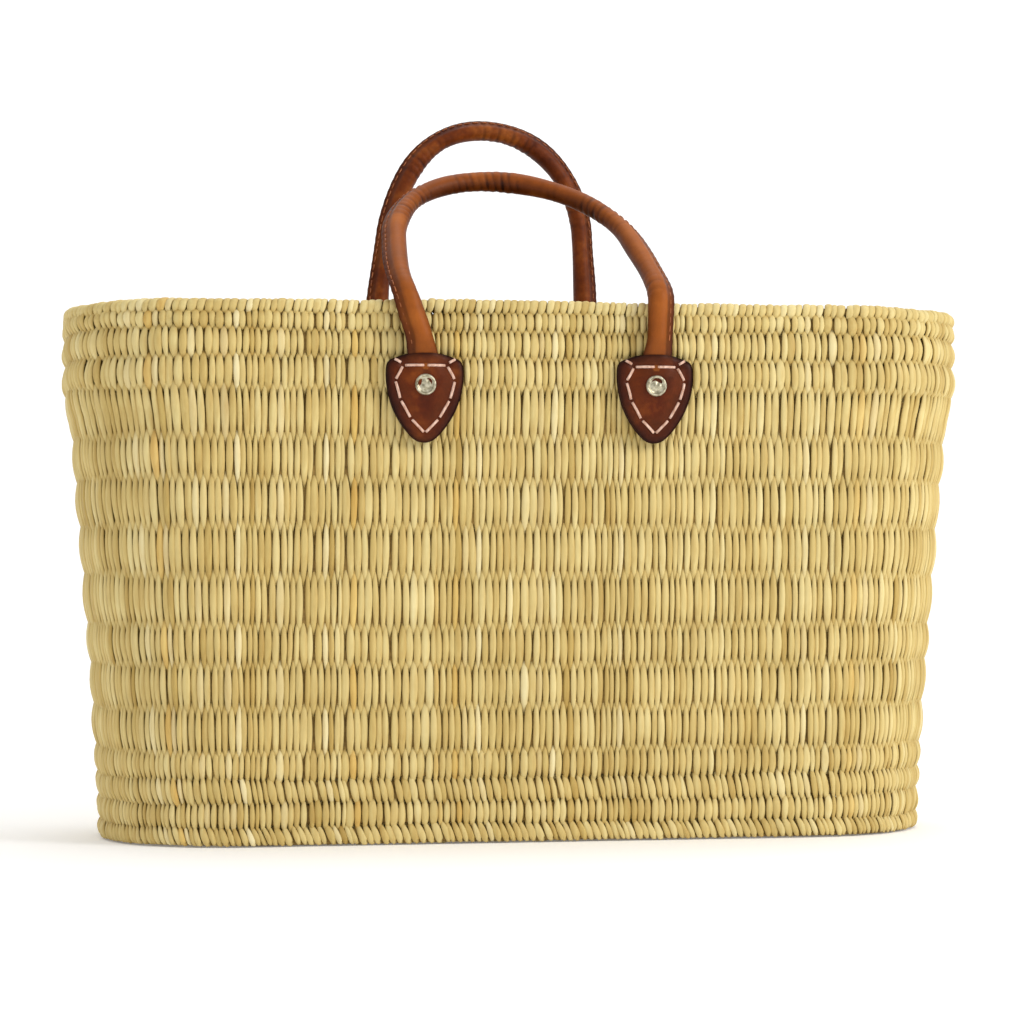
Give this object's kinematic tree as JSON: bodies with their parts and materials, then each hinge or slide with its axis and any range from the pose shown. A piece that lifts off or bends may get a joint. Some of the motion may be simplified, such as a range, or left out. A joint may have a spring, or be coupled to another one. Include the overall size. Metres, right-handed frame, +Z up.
{
  "type": "woven market basket",
  "caption": "Oblong open shopping basket of woven reed with two arched leather carrying handles riveted to its long sides.",
  "frame": {"origin": "centre of the underside, at the level of the surface it stands on", "axes": "+X along the long side, +Y towards the back, +Z up"},
  "size_m": [0.484, 0.217, 0.4055],
  "materials": {
    "reed": "matte",
    "core_reed": "matte",
    "handle_leather": "satin",
    "tab_leather": "satin",
    "rope": "matte",
    "thread": "matte",
    "nickel": "satin"
  },
  "bodies": {
    "basket": {"wall_reeds": "reed", "rim_binding": "reed", "base_reeds": "reed", "rim_core": "core_reed", "base_core_bar": "core_reed", "base_core_ring_1": "core_reed", "base_core_ring_2": "core_reed", "base_core_ring_3": "core_reed", "core_hoop_01": "core_reed", "core_hoop_02": "core_reed", "core_hoop_03": "core_reed", "core_hoop_04": "core_reed", "core_hoop_05": "core_reed", "core_hoop_06": "core_reed", "core_hoop_07": "core_reed", "core_hoop_08": "core_reed", "core_hoop_09": "core_reed", "core_hoop_10": "core_reed", "core_hoop_11": "core_reed", "core_hoop_12": "core_reed", "core_hoop_13": "core_reed", "core_hoop_14": "core_reed", "core_hoop_15": "core_reed", "front_left_handle_foot": "handle_leather", "front_right_handle_foot": "handle_leather", "back_left_handle_foot": "handle_leather", "back_right_handle_foot": "handle_leather", "front_left_tab_outer": "tab_leather", "front_right_tab_outer": "tab_leather", "back_left_tab_outer": "tab_leather", "back_right_tab_outer": "tab_leather", "front_left_tab_inner": "tab_leather", "front_right_tab_inner": "tab_leather", "back_left_tab_inner": "tab_leather", "back_right_tab_inner": "tab_leather", "front_left_inside_patch": "tab_leather", "front_right_inside_patch": "tab_leather", "back_left_inside_patch": "tab_leather", "back_right_inside_patch": "tab_leather", "front_left_tab_thread": "thread", "front_right_tab_thread": "thread", "back_left_tab_thread": "thread", "back_right_tab_thread": "thread", "rivets": "nickel", "rivet_washers": "nickel"},
    "front_handle": {"front_handle_cover": "handle_leather", "front_handle_rope": "rope", "front_handle_seam_thread": "thread"},
    "back_handle": {"back_handle_cover": "handle_leather", "back_handle_rope": "rope", "back_handle_seam_thread": "thread"}
  },
  "joints": [
    {"name": "front_handle_bend", "type": "hinge", "parent": "basket", "child": "front_handle", "pos_m": [0, -0.1035, 0.2845], "axis": [-1, 0, 0], "range_deg": [-163, 2]},
    {"name": "back_handle_bend", "type": "hinge", "parent": "basket", "child": "back_handle", "pos_m": [0, 0.1035, 0.2845], "axis": [1, 0, 0], "range_deg": [-110, 55]}
  ]
}
